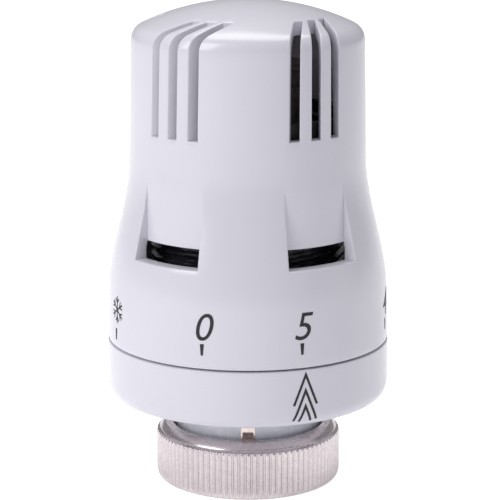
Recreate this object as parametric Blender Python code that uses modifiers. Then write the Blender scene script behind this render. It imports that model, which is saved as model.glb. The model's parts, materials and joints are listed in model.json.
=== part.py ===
"""Thermostatic radiator valve head with an M30 x 1.5 union nut, built as separate pieces.

The head stands on its union nut. Its axis is Z, the index mark faces -Y, and lengths in the
profiles are millimetres that are scaled to metres when a mesh is made.
"""
import math

import bmesh
import bpy
from mathutils import Matrix

MM = 0.001

# overall shape
TOTAL_HEIGHT = 88.5
WHEEL_BOTTOM = 26.85
RING_TOP = 26.55
RING_BOTTOM = 16.2
RING_RADIUS = 25.8
CASE_STEPS = 40
INNER_STEPS = 36
SMALL_STEPS = 16

# handwheel shell: a drafted cylinder, a flare over the lower half and a crowned dome
CYLINDER_RADIUS = 21.05
CYLINDER_TOP = 80.0
DRAFT = 0.02
FLARE_DEPTH = 3.59
FLARE_START = 36.0
FLARE_END = 60.0
CROWN_RADIUS = 45.7
SHOULDER_RADIUS = 3.2
WALL = 2.3
SKIRT_BORE = 23.3
SNAP_GROOVE = 24.0
WINDOW_BORE = 22.0
UPPER_BORE = 19.4

# vents, recessed panels and windows repeat five times round the handwheel
SECTORS = 5
SECTOR = 360.0 / SECTORS
PANEL_ANGLE = 34.0 - 90.0
PANEL_HALF = 17.0
PANEL_BOTTOM = 44.0
WINDOW_TOP = 47.2
PANEL_TOP = 60.2
VENT_PITCH = 11.6
VENT_WIDTH = 1.7
VENT_BOTTOM = 66.0
VENT_SWIRL = 28.0
VENT_DEPTH = 7.4

# keys of the carrier stand between the panels
PANEL_CENTRES = [PANEL_ANGLE + SECTOR * i for i in range(SECTORS)]
KEY_CENTRES = [angle + SECTOR / 2 for angle in PANEL_CENTRES]
KEY_HALF = 7.0

# drive thread between the base and the carrier: three starts, one turn lifts by the lead
THREAD_STARTS = 3
THREAD_LEAD = 5.4
THREAD_STEPS = 24
THREAD_BORE = 17.35
THREAD_GROOVE = 18.1
CARRIER_RADIUS = 17.0
CARRIER_BORE = 15.0
CARRIER_BOTTOM = 33.0
CARRIER_TOP = 66.5
SLEEVE_TOP = 39.5

# end stops: the rib in the handwheel swings once round from one side of the base's block to the other
STOP_ANGLE = 200.0
STOP_HALF = 9.75
STOP_REST_OFFSET = -20.0

# union nut and neck
NUT_RADIUS = 17.0
NUT_HEIGHT = 10.6
NUT_RIDGES = 92
NUT_RIDGE_DEPTH = 0.35
NUT_THREAD_MAJOR = 15.0
NUT_THREAD_MINOR = 14.19
NUT_THREAD_PITCH = 1.5
NUT_FLANGE_BOTTOM = 8.8
SLIP_RING_BOTTOM = 7.9
SNAP_RING_BOTTOM = 6.6
SNAP_RING_RADIUS = 13.95
NECK_RADIUS = 13.35
NECK_BORE = 11.2
SEAT_HEIGHT = 5.2

# sensor, piston and springs
CAN_RADIUS = 11.5
CAN_TOP = 77.4
FLANGE_BOTTOM = 35.5
FLANGE_TOP = 37.5
PUSHER_TIP = 20.8

# lower faces of the pieces inside the handwheel
SLEEVE_BOTTOM = 20.1
GUIDE_BOTTOM = 21.9
SCREW_BOTTOM = 16.4
DRIVE_RING_BOTTOM = 56.0
RETAINING_RING_BOTTOM = 27.65
RETAINER_BOTTOM = 50.9
CLIP_BOTTOM = 52.75
CAN_BOTTOM = 37.8
SEAL_BOTTOM = 35.6
BELLOWS_BOTTOM = 39.8
ROD_BOTTOM = 24.5
LOCK_NUT_BOTTOM = 32.5

for leftover in list(bpy.data.objects):
    bpy.data.objects.remove(leftover)

part = bpy.data.collections.new("thermostatic_radiator_valve")
tools = bpy.data.collections.new("cutters")
bpy.context.scene.collection.children.link(part)
bpy.context.scene.collection.children.link(tools)


def material(name, colour, roughness, metallic=0.0):
    """A plain Principled material."""
    mat = bpy.data.materials.new(name)
    mat.use_nodes = True
    shader = mat.node_tree.nodes["Principled BSDF"]
    shader.inputs["Base Color"].default_value = (*colour, 1.0)
    shader.inputs["Roughness"].default_value = roughness
    shader.inputs["Metallic"].default_value = metallic
    return mat


def pivot(name, height, parent=None):
    """An empty on the head's axis that a moving group hangs from."""
    empty = bpy.data.objects.new(name, None)
    empty.empty_display_size = 5 * MM
    part.objects.link(empty)
    place(empty, height, parent)
    return empty


def place(obj, height, parent):
    """Put the object's origin on the axis at a height above the bench, under its parent."""
    below = parent["height"] if parent else 0.0
    obj.parent = parent
    obj.location = (0.0, 0.0, (height - below) * MM)
    obj["height"] = height


def finish(obj, mat, height, parent):
    """Give the object its material, smooth shading and place."""
    obj.data.materials.append(mat)
    if obj.type == 'MESH':
        obj.data.shade_smooth()
        obj.data.set_sharp_from_angle(angle=math.radians(35))
    place(obj, height, parent)
    return obj


def add_turn(obj, steps):
    """Turn the object's profile once round its own Z axis."""
    screw = obj.modifiers.new("Turn", 'SCREW')
    screw.axis = 'Z'
    screw.steps = steps
    screw.render_steps = steps
    screw.use_merge_vertices = True
    screw.merge_threshold = 0.00001


def turned(name, outline, height, closed=True, steps=INNER_STEPS, collection=part):
    """A turned piece: (radius, height) points that run down the outside, then up the inside."""
    mesh = bpy.data.meshes.new(name)
    points = [(r * MM, 0.0, (z - height) * MM) for r, z in outline]
    edges = [(i, i + 1) for i in range(len(points) - 1)]
    if closed:
        edges.append((len(points) - 1, 0))
    mesh.from_pydata(points, edges, [])
    obj = bpy.data.objects.new(name, mesh)
    collection.objects.link(obj)
    add_turn(obj, steps)
    return obj


def split_ring(name, outline, start, sweep, steps=40):
    """A ring with a gap: the outline's heights are counted from the ring's own underside."""
    bm = bmesh.new()
    sweep_section(bm, outline, start, sweep, steps)
    return solid(name, bm, part)


def solid(name, bm, collection):
    """A new object from finished bmesh geometry."""
    bmesh.ops.recalc_face_normals(bm, faces=bm.faces)
    mesh = bpy.data.meshes.new(name)
    bm.to_mesh(mesh)
    bm.free()
    obj = bpy.data.objects.new(name, mesh)
    collection.objects.link(obj)
    return obj


def as_cutter(obj):
    """Show an object as wire only and keep it out of renders."""
    obj.hide_render = True
    obj.display_type = 'WIRE'
    return obj


def sweep_section(bm, outline, start, sweep, steps, lift=0.0):
    """Sweep a closed (radius, height) outline round Z, rising by lift over the whole sweep."""
    turn = math.radians(start)
    ring = [bm.verts.new((r * math.cos(turn) * MM, r * math.sin(turn) * MM, z * MM)) for r, z in outline]
    face = bm.faces.new(ring)
    bmesh.ops.spin(bm, geom=[face, *face.edges, *face.verts], cent=(0, 0, 0), axis=(0, 0, 1),
                   dvec=(0, 0, lift * MM / steps), angle=math.radians(sweep), steps=steps)


def box_section(inner, outer, bottom, top):
    """A rectangular (radius, height) outline."""
    return [(inner, bottom), (outer, bottom), (outer, top), (inner, top)]


def arc_cutter(name, outline, centres, half, steps=6):
    """One cutter with the same arc solid at each of the centre angles."""
    bm = bmesh.new()
    for centre in centres:
        sweep_section(bm, outline, centre - half, 2 * half, steps)
    return as_cutter(solid(name, bm, tools))


def thread_cutter(name, outline, bottom, top):
    """One right-hand helical ridge for each start, from bottom to top."""
    turns = (top - bottom) / THREAD_LEAD
    steps = round(turns * THREAD_STEPS)
    bm = bmesh.new()
    for start in range(THREAD_STARTS):
        section = [(r, z + bottom) for r, z in outline]
        turn = start * 360.0 / THREAD_STARTS
        first = turn + 360.0 * bottom / THREAD_LEAD
        sweep_section(bm, section, first, 360.0 * turns, steps, top - bottom)
    return as_cutter(solid(name, bm, tools))


def boolean(obj, tool, operation='DIFFERENCE'):
    """Cut the tool out of the object, or join it on with operation UNION."""
    mod = obj.modifiers.new(tool.name, 'BOOLEAN')
    mod.object = tool
    mod.operation = operation
    place(tool, 0.0, None)


def coil(name, radius, wire, bottom, top, turns):
    """A compression spring with one closed turn at each end."""
    per_turn = 12
    count = round(turns * per_turn)
    closed_rise = wire + 0.1
    pitch = (top - bottom - wire - 2 * closed_rise) / (turns - 2)
    curve = bpy.data.curves.new(name, 'CURVE')
    curve.dimensions = '3D'
    curve.bevel_depth = wire / 2 * MM
    curve.bevel_resolution = 2
    curve.use_fill_caps = True
    spline = curve.splines.new('POLY')
    spline.points.add(count)
    for i, point in enumerate(spline.points):
        turn = i / per_turn
        rise = min(turn, 1.0) * closed_rise
        rise += max(0.0, min(turn, turns - 1) - 1) * pitch
        rise += max(0.0, turn - (turns - 1)) * closed_rise
        z = wire / 2 + rise
        angle = 2 * math.pi * turn
        point.co = (radius * math.cos(angle) * MM, radius * math.sin(angle) * MM, z * MM, 1.0)
    obj = bpy.data.objects.new(name, curve)
    part.objects.link(obj)
    return obj


def wheel_radius(z):
    """Outer radius of the handwheel below the dome."""
    t = max(0.0, min(1.0, (z - FLARE_START) / (FLARE_END - FLARE_START)))
    flare = FLARE_DEPTH * (1 - t * t * (3 - 2 * t))
    return CYLINDER_RADIUS + DRAFT * (CYLINDER_TOP - z) + flare


def dome_outline(inset, crown_steps, shoulder_steps):
    """The crown arc and the shoulder arc, from the axis outwards, moved in by inset."""
    crown_centre = TOTAL_HEIGHT - CROWN_RADIUS
    fillet_r = CYLINDER_RADIUS - SHOULDER_RADIUS
    fillet_z = crown_centre + math.sqrt((CROWN_RADIUS - SHOULDER_RADIUS) ** 2 - fillet_r ** 2)
    tangent = math.asin(fillet_r / (CROWN_RADIUS - SHOULDER_RADIUS))
    points = []
    for i in range(crown_steps + 1):
        angle = tangent * i / crown_steps
        radius = CROWN_RADIUS - inset
        points.append((radius * math.sin(angle), crown_centre + radius * math.cos(angle)))
    for i in range(1, shoulder_steps + 1):
        angle = tangent + (math.pi / 2 - tangent) * i / shoulder_steps
        radius = SHOULDER_RADIUS - inset
        points.append((fillet_r + radius * math.sin(angle), fillet_z + radius * math.cos(angle)))
    return points


white = material("white_abs", (0.80, 0.80, 0.84), 0.28)
black = material("black_nylon", (0.03, 0.03, 0.035), 0.45)
grey = material("grey_neck", (0.30, 0.31, 0.34), 0.3)
nickel = material("nickel_plate", (0.62, 0.58, 0.57), 0.28, 1.0)
brass = material("bare_brass", (0.55, 0.42, 0.24), 0.35, 1.0)
steel = material("spring_steel", (0.35, 0.34, 0.34), 0.35, 1.0)
bronze = material("sensor_shell", (0.13, 0.11, 0.10), 0.4, 0.6)
rubber = material("rod_seal_rubber", (0.02, 0.02, 0.02), 0.7)
natural = material("natural_acetal", (0.75, 0.73, 0.66), 0.4)

base = pivot("base_frame", 0.0)
nut_slide = pivot("nut_slide_pivot", SLIP_RING_BOTTOM, base)
nut_turn = pivot("nut_turn_pivot", NUT_FLANGE_BOTTOM, nut_slide)
wheel = pivot("handwheel_pivot", WHEEL_BOTTOM, base)
lift = pivot("carrier_pivot", CARRIER_BOTTOM, wheel)
sensor = pivot("sensor_pivot", FLANGE_BOTTOM, lift)
stroke = pivot("piston_pivot", PUSHER_TIP, sensor)


# base: neck with its liner, ring with the index mark, threaded sleeve and three screws

def build_neck():
    """The smooth neck that enters the union nut, with a flange that the ring hangs from."""
    collar, groove, flange = 13.9, 12.4, 19.6
    outline = [(NECK_RADIUS, 21.6), (NECK_RADIUS, 19.8), (flange, 19.8), (flange, 18.5),
               (NECK_RADIUS, 18.5), (NECK_RADIUS, SLIP_RING_BOTTOM), (groove, SLIP_RING_BOTTOM),
               (groove, 6.3), (collar, 6.3), (collar, SEAT_HEIGHT), (NECK_BORE, SEAT_HEIGHT),
               (NECK_BORE, 21.6)]
    neck = turned("neck_socket", outline, SEAT_HEIGHT)
    finish(neck, grey, SEAT_HEIGHT, base)
    half_width = math.degrees(1.3 / NECK_RADIUS)
    notch = box_section(10.5, 14.5, 8.9, 13.1)
    boolean(neck, arc_cutter("neck_notch", notch, [-90.0], half_width, 2))
    boolean(neck, round_cutter("neck_screw_holes", 1.5, 18.0, 20.3))


def build_liner():
    """Brass liner inside the neck, seen through the neck's notch."""
    outline = [(10.9, 17.5), (10.9, SEAT_HEIGHT), (10.0, SEAT_HEIGHT), (10.0, 17.5)]
    finish(turned("seat_liner", outline, SEAT_HEIGHT), brass, SEAT_HEIGHT, base)


def build_pointer_ring():
    """Fixed white ring under the handwheel: a shallow cup with a rounded lower edge."""
    corner_width, corner_height, corner_steps = 1.9, 2.9, 4
    outline = [(RING_RADIUS - 0.15, RING_TOP), (RING_RADIUS, RING_TOP - 0.25)]
    for i in range(corner_steps + 1):
        angle = math.pi / 2 * i / corner_steps
        outline.append((RING_RADIUS - corner_width * (1 - math.cos(angle)),
                        RING_BOTTOM + corner_height * (1 - math.sin(angle))))
    outline += [(13.75, RING_BOTTOM), (13.75, 18.2), (22.6, 18.2), (23.4, 19.4), (23.4, RING_TOP)]
    ring = turned("pointer_ring", outline, RING_BOTTOM, steps=CASE_STEPS)
    finish(ring, white, RING_BOTTOM, base)
    boolean(ring, round_cutter("ring_screw_holes", 1.5, 17.0, 19.0))
    boolean(ring, round_cutter("ring_counterbores", 2.7, 15.5, 17.3))


def build_sleeve():
    """Base sleeve: stands on the neck's flange, carries the handwheel and the female thread."""
    outer, rim, foot = 19.4, 21.6, 20.5
    outline = [(outer, SLEEVE_TOP), (outer, 31.0), (rim, 31.0), (rim, 29.3), (outer, 29.3),
               (outer, 22.0), (foot, 21.8), (foot, SLEEVE_BOTTOM), (14.6, SLEEVE_BOTTOM),
               (14.6, 27.8), (THREAD_GROOVE, 27.8), (THREAD_GROOVE, 33.2), (THREAD_BORE, 33.2),
               (THREAD_BORE, SLEEVE_TOP)]
    sleeve = turned("threaded_sleeve", outline, SLEEVE_BOTTOM)
    finish(sleeve, black, SLEEVE_BOTTOM, base)
    stop = arc_cutter("sleeve_stop", box_section(18.8, 21.4, 30.0, 36.0), [STOP_ANGLE], STOP_HALF, 4)
    boolean(sleeve, stop, 'UNION')
    groove = [(THREAD_BORE - 0.4, -0.78), (THREAD_GROOVE, -0.45), (THREAD_GROOVE, 0.45),
              (THREAD_BORE - 0.4, 0.78)]
    boolean(sleeve, thread_cutter("sleeve_thread", groove, 32.6, 40.4))
    boolean(sleeve, round_cutter("sleeve_screw_holes", 1.45, 19.5, 25.4))


def screw_circle():
    """Centres of the three base screws."""
    return [(17.0, 90.0 + 120.0 * i) for i in range(3)]


def round_cutter(name, radius, bottom, top):
    """Upright holes at the three screw positions."""
    bm = bmesh.new()
    for pitch_radius, angle in screw_circle():
        hole = bmesh.ops.create_cone(bm, cap_ends=True, segments=16, radius1=radius * MM,
                                     radius2=radius * MM, depth=(top - bottom) * MM)
        turn = math.radians(angle)
        shift = (pitch_radius * math.cos(turn) * MM, pitch_radius * math.sin(turn) * MM,
                 (bottom + top) / 2 * MM)
        bmesh.ops.translate(bm, verts=hole["verts"], vec=shift)
    return as_cutter(solid(name, bm, tools))


def build_base_screws():
    """Three pan-head screws that clamp the ring and the neck to the sleeve from below."""
    outline = [(0.0, 25.0), (0.9, 25.0), (1.15, 24.4), (1.15, 17.0), (2.4, 17.0), (2.4, 16.7),
               (1.9, SCREW_BOTTOM), (0.0, SCREW_BOTTOM)]
    for number, (pitch_radius, angle) in enumerate(screw_circle(), 1):
        screw = turned(f"base_screw_{number}", outline, SCREW_BOTTOM, closed=False, steps=SMALL_STEPS)
        finish(screw, steel, SCREW_BOTTOM, base)
        turn = math.radians(angle)
        screw.location.x = pitch_radius * math.cos(turn) * MM
        screw.location.y = pitch_radius * math.sin(turn) * MM


def build_guide_plate():
    """Disc on the neck that keeps the pusher on the axis."""
    outline = [(14.2, 23.7), (14.2, GUIDE_BOTTOM), (4.4, GUIDE_BOTTOM), (4.4, 23.7)]
    finish(turned("guide_plate", outline, GUIDE_BOTTOM), natural, GUIDE_BOTTOM, base)


def build_snap_ring():
    """Split ring in the neck's groove that the union nut hangs on."""
    ring = split_ring("snap_ring", box_section(12.8, SNAP_RING_RADIUS, 0.0, 1.0), -72.0, 324.0, 24)
    finish(ring, steel, SNAP_RING_BOTTOM, base)


# union nut

def build_slip_ring():
    """Thin washer between the snap ring and the nut's flange."""
    outline = [(14.8, 8.5), (14.8, SLIP_RING_BOTTOM), (13.65, SLIP_RING_BOTTOM), (13.65, 8.5)]
    finish(turned("slip_ring", outline, SLIP_RING_BOTTOM), natural, SLIP_RING_BOTTOM, nut_slide)


def ridged(obj, radius, depth, columns):
    """Press every other column of points on the given radius inwards, so the rest stand as ridges."""
    graph = bpy.context.evaluated_depsgraph_get()
    mesh = bpy.data.meshes.new_from_object(obj.evaluated_get(graph))
    obj.modifiers.clear()
    obj.data = mesh
    for vert in mesh.vertices:
        column = round(math.atan2(vert.co.y, vert.co.x) / (2 * math.pi) * columns)
        if column % 2 and math.hypot(vert.co.x, vert.co.y) > (radius - 0.01) * MM:
            vert.co.x *= (radius - depth) / radius
            vert.co.y *= (radius - depth) / radius


def build_union_nut():
    """Knurled nut: straight ridges, a plain band above them and an M30 thread inside."""
    thread_top, relief, upper_bore = 5.6, 15.1, 13.95
    outline = [(0.0, NUT_HEIGHT), (15.4, NUT_HEIGHT), (16.3, 9.4), (NUT_RADIUS, 9.1),
               (NUT_RADIUS, 1.2), (NUT_RADIUS - 1.0, 0.0), (0.0, 0.0)]
    nut = turned("union_nut", outline, NUT_FLANGE_BOTTOM, closed=False, steps=2 * NUT_RIDGES)
    ridged(nut, NUT_RADIUS, NUT_RIDGE_DEPTH, 2 * NUT_RIDGES)
    finish(nut, nickel, NUT_FLANGE_BOTTOM, nut_turn)
    bore = [(0.0, NUT_HEIGHT + 1), (upper_bore, NUT_HEIGHT + 1), (upper_bore, NUT_FLANGE_BOTTOM),
            (relief, NUT_FLANGE_BOTTOM), (relief, thread_top)]
    turns = int((thread_top - 0.6) / NUT_THREAD_PITCH)
    for i in range(turns):
        z = thread_top - NUT_THREAD_PITCH * i
        bore += [(NUT_THREAD_MINOR, z - NUT_THREAD_PITCH / 2), (NUT_THREAD_MAJOR, z - NUT_THREAD_PITCH)]
    bore += [(NUT_THREAD_MAJOR, -1.0), (0.0, -1.0)]
    tool = as_cutter(turned("nut_bore", bore, 0.0, closed=False, collection=tools))
    boolean(nut, tool)


# handwheel

def build_handwheel():
    """White shell: dome, drafted cylinder and flared skirt, cut by panels, windows and vents."""
    dome = dome_outline(0.0, 5, 3)
    flare_points = 7
    flare_step = (FLARE_END - FLARE_START) / (flare_points - 1)
    flare = [FLARE_END - flare_step * i for i in range(flare_points)]
    inside = dome_outline(WALL, 3, 2)
    outline = dome + [(wheel_radius(z), z) for z in flare]
    rim = 27.2
    outline += [(wheel_radius(rim), rim), (wheel_radius(rim) - 0.35, WHEEL_BOTTOM),
                (SKIRT_BORE, WHEEL_BOTTOM), (SKIRT_BORE, 27.35), (SNAP_GROOVE, 27.35),
                (SNAP_GROOVE, 28.95), (SKIRT_BORE, 28.95), (SKIRT_BORE, 39.3), (WINDOW_BORE, 42.9),
                (WINDOW_BORE, WINDOW_TOP), (UPPER_BORE, WINDOW_TOP)]
    outline += list(reversed(inside))
    shell = turned("handwheel", outline, WHEEL_BOTTOM, closed=False, steps=CASE_STEPS)
    finish(shell, white, WHEEL_BOTTOM, wheel)
    rib_angle = STOP_ANGLE + STOP_REST_OFFSET
    rib = arc_cutter("wheel_stop", box_section(20.2, 24.0, 31.6, 36.4), [rib_angle], STOP_HALF, 4)
    boolean(shell, rib, 'UNION')
    inside, outside, floor, lip = 21.2, 28.0, 21.7, WINDOW_TOP - 0.3
    panel = [(inside, PANEL_BOTTOM), (outside, PANEL_BOTTOM), (outside, PANEL_TOP),
             (floor - 0.1, PANEL_TOP), (floor, lip), (inside, lip)]
    boolean(shell, arc_cutter("panels", panel, PANEL_CENTRES, PANEL_HALF, 6))
    boolean(shell, vent_cutter())


def vent_cutter():
    """Three upright slots over each panel, all swirled the same way from the radial direction."""
    outside, tall = 2.5, 26.0
    length = VENT_DEPTH + outside
    bm = bmesh.new()
    for centre in PANEL_CENTRES:
        for step in (-1, 0, 1):
            angle = math.radians(centre + step * VENT_PITCH)
            slot = angle - math.radians(VENT_SWIRL)
            box = bmesh.ops.create_cube(bm, size=1.0)["verts"]
            bmesh.ops.scale(bm, verts=box, vec=(length * MM, VENT_WIDTH * MM, tall * MM))
            middle = ((outside - VENT_DEPTH) / 2 * MM, 0, (VENT_BOTTOM + tall / 2) * MM)
            bmesh.ops.translate(bm, verts=box, vec=middle)
            bmesh.ops.rotate(bm, verts=box, cent=(0, 0, 0), matrix=Matrix.Rotation(slot, 3, 'Z'))
            bmesh.ops.translate(bm, verts=box, vec=(CYLINDER_RADIUS * math.cos(angle) * MM,
                                                    CYLINDER_RADIUS * math.sin(angle) * MM, 0))
    return as_cutter(solid("vents", bm, tools))


def build_drive_ring():
    """Ring fixed inside the handwheel; its notches turn the carrier and let it slide."""
    top, play = 68.5, 1.2
    outline = list(reversed(box_section(16.8, 18.5, DRIVE_RING_BOTTOM, top)))
    ring = turned("drive_ring", outline, DRIVE_RING_BOTTOM)
    finish(ring, black, DRIVE_RING_BOTTOM, wheel)
    notch = box_section(16.0, 17.9, 55.0, 70.0)
    boolean(ring, arc_cutter("key_notches", notch, KEY_CENTRES, KEY_HALF + play, 2))


def build_retaining_ring():
    """Split ring in the skirt's groove; it runs under the sleeve's flange and holds the wheel down."""
    ring = split_ring("retaining_ring", box_section(19.9, 23.7, 0.0, 1.0), -60.0, 330.0, 26)
    finish(ring, natural, RETAINING_RING_BOTTOM, wheel)


# carrier

def build_carrier():
    """Basket with the male drive thread and five keys for the drive ring."""
    outline = [(16.4, CARRIER_TOP), (16.4, 54.5), (CARRIER_RADIUS, 54.0),
               (CARRIER_RADIUS, CARRIER_BOTTOM), (9.0, CARRIER_BOTTOM), (9.0, 35.2),
               (CARRIER_BORE, 35.2), (CARRIER_BORE, 52.4), (15.7, 52.4), (15.7, 54.0),
               (CARRIER_BORE, 54.0), (CARRIER_BORE, CARRIER_TOP)]
    carrier = turned("carrier", outline, CARRIER_BOTTOM)
    finish(carrier, black, CARRIER_BOTTOM, lift)
    keys = arc_cutter("carrier_keys", box_section(15.6, 17.55, 55.2, 66.0), KEY_CENTRES, KEY_HALF, 2)
    boolean(carrier, keys, 'UNION')
    ridge = [(16.6, -0.5), (17.75, -0.2), (17.75, 0.2), (16.6, 0.5)]
    boolean(carrier, thread_cutter("carrier_thread", ridge, 33.7, 49.9), 'UNION')


def build_spring_retainer():
    """Ring that the overtravel spring pushes up against, and the split clip that holds it."""
    outline = [(14.7, 52.1), (14.7, RETAINER_BOTTOM), (12.0, RETAINER_BOTTOM), (12.0, 52.1)]
    finish(turned("spring_retainer", outline, RETAINER_BOTTOM), steel, RETAINER_BOTTOM, lift)
    clip = split_ring("retainer_clip", box_section(13.6, 15.4, 0.0, 0.9), 20.0, 320.0, 24)
    finish(clip, steel, CLIP_BOTTOM, lift)


# sensor

def build_sensor_can():
    """Closed metal can of the liquid sensor, open below where the flange plugs it."""
    outline = [(0.0, CAN_TOP), (9.7, CAN_TOP), (10.9, CAN_TOP - 0.4), (CAN_RADIUS, CAN_TOP - 1.6),
               (CAN_RADIUS, CAN_BOTTOM), (10.9, CAN_BOTTOM), (10.9, CAN_TOP - 1.6),
               (9.7, CAN_TOP - 0.7), (0.0, CAN_TOP - 0.7)]
    finish(turned("sensor_can", outline, CAN_BOTTOM, closed=False), bronze, CAN_BOTTOM, sensor)


def build_sensor_flange():
    """Plug and rim under the can: it rests on the carrier's shelf and guides the rod."""
    outline = [(10.6, 39.5), (10.6, FLANGE_TOP), (14.7, FLANGE_TOP), (14.7, FLANGE_BOTTOM),
               (4.0, FLANGE_BOTTOM), (4.0, 37.2), (2.4, 37.2), (2.4, 39.5)]
    finish(turned("sensor_flange", outline, FLANGE_BOTTOM), brass, FLANGE_BOTTOM, sensor)


def build_rod_seal():
    """Ring seal round the rod in the flange's recess."""
    outline = [(3.3, 36.9), (3.7, 36.5), (3.7, 36.0), (3.3, SEAL_BOTTOM), (2.7, SEAL_BOTTOM),
               (2.3, 36.0), (2.3, 36.5), (2.7, 36.9)]
    finish(turned("rod_seal", outline, SEAL_BOTTOM, steps=SMALL_STEPS), rubber, SEAL_BOTTOM, sensor)


def build_bellows():
    """Folded metal bellows: the liquid outside it presses it down on the piston's head."""
    crest, root, skin, folds, top = 9.6, 7.8, 0.5, 6, 60.4
    pitch = (top - BELLOWS_BOTTOM) / folds
    outside = [(0.0, top), (root, top)]
    for i in range(folds):
        outside += [(crest, top - pitch * (i + 0.5)), (root, top - pitch * (i + 1))]
    inside = [(max(0.0, r - skin), z) for r, z in reversed(outside[1:])]
    inside[-1] = (root - skin, top - skin)
    outline = outside + inside + [(0.0, top - skin)]
    folded = turned("bellows", outline, BELLOWS_BOTTOM, closed=False, steps=SMALL_STEPS)
    finish(folded, brass, BELLOWS_BOTTOM, sensor)


def build_springs():
    """Overtravel spring round the can, return spring round the rod."""
    turns = 7
    overtravel = coil("overtravel_spring", 13.8, 1.3, CAN_BOTTOM, 50.6, turns)
    finish(overtravel, steel, CAN_BOTTOM, lift)
    back = coil("return_spring", 4.6, 0.9, BELLOWS_BOTTOM, 57.2, turns)
    finish(back, steel, BELLOWS_BOTTOM, sensor)


# piston

def build_piston():
    """Rod with the head that the bellows pushes on."""
    outline = [(0.0, 59.6), (6.6, 59.6), (6.6, 57.5), (2.0, 57.5), (2.0, 24.8), (1.6, ROD_BOTTOM),
               (0.0, ROD_BOTTOM)]
    rod = turned("piston_rod", outline, ROD_BOTTOM, closed=False, steps=SMALL_STEPS)
    finish(rod, steel, ROD_BOTTOM, stroke)


def build_pusher():
    """Acetal cap on the rod that bears on the valve's pin, bored blind from above."""
    outline = [(0.0, 24.2), (2.3, 24.2), (2.3, 32.2), (4.0, 32.2), (4.0, 21.3), (3.5, PUSHER_TIP),
               (0.0, PUSHER_TIP)]
    cap = turned("pusher", outline, PUSHER_TIP, closed=False, steps=SMALL_STEPS)
    finish(cap, natural, PUSHER_TIP, stroke)


def build_lock_nut():
    """Hexagon nut that locks the pusher at its set length."""
    corners, bore, top = 4.04, 2.3, 34.6
    outline = list(reversed(box_section(bore, corners, LOCK_NUT_BOTTOM, top)))
    finish(turned("lock_nut", outline, LOCK_NUT_BOTTOM, steps=6), steel, LOCK_NUT_BOTTOM, stroke)


build_neck()
build_liner()
build_pointer_ring()
build_sleeve()
build_base_screws()
build_guide_plate()
build_snap_ring()
build_slip_ring()
build_union_nut()
build_handwheel()
build_drive_ring()
build_retaining_ring()
build_carrier()
build_spring_retainer()
build_sensor_can()
build_sensor_flange()
build_rod_seal()
build_bellows()
build_springs()
build_piston()
build_pusher()
build_lock_nut()
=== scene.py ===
import json
import math

import bmesh
import bpy
import numpy as np
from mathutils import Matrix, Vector


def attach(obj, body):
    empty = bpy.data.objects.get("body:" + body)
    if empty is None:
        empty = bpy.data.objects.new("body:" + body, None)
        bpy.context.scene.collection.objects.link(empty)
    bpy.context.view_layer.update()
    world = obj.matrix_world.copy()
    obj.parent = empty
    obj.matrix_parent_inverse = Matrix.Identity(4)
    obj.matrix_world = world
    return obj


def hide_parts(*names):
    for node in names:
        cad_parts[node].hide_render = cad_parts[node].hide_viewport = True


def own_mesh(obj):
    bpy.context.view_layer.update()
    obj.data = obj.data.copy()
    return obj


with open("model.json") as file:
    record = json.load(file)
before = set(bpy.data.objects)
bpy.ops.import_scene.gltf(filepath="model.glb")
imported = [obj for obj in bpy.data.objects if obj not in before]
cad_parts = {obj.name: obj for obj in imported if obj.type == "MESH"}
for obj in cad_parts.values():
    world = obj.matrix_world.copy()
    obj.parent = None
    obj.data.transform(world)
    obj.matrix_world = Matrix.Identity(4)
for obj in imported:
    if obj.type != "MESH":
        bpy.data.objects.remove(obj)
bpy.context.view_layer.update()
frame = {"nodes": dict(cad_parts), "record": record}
mm = 0.001
bpy.context.scene.view_settings.view_transform = 'Standard'
print("frame loaded:", len(frame["nodes"]), "nodes")


# room, lights and camera

studio = {
    "floorSize": 8.0,
    "floorColour": (0.93, 0.93, 0.945),
    "floorGlow": 0.16,       # what the floor throws on the object
    "floorShown": 0.62,      # what is added where the floor is seen
    "floorMirrored": 0.35,   # share of that addition in reflections
    "skyColour": (0.95, 0.95, 1.0),
    "skyStrength": 0.30,
    # name: place, aim, width, height, watts
    "boxes": {
        "keyLeft": ((-0.55, -0.42, 0.50), (0, 0, 0.05), 0.45, 0.60, 3.5),
        "fillRight": ((0.70, -0.10, 0.30), (0, 0, 0.04), 0.35, 0.70, 0.25),
        "overhead": ((0.05, 0.20, 0.90), (0, 0, 0.05), 0.70, 0.60, 4.2),
    },
}
lens = {"distance": 0.392, "elevation": 12.8, "aimHeight": 0.0426, "focal": 154.0, "shift": 0.004}


def deselect():
    if bpy.context.object and bpy.context.object.mode != 'OBJECT':
        bpy.ops.object.mode_set(mode='OBJECT')
    bpy.ops.object.select_all(action='DESELECT')


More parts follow.
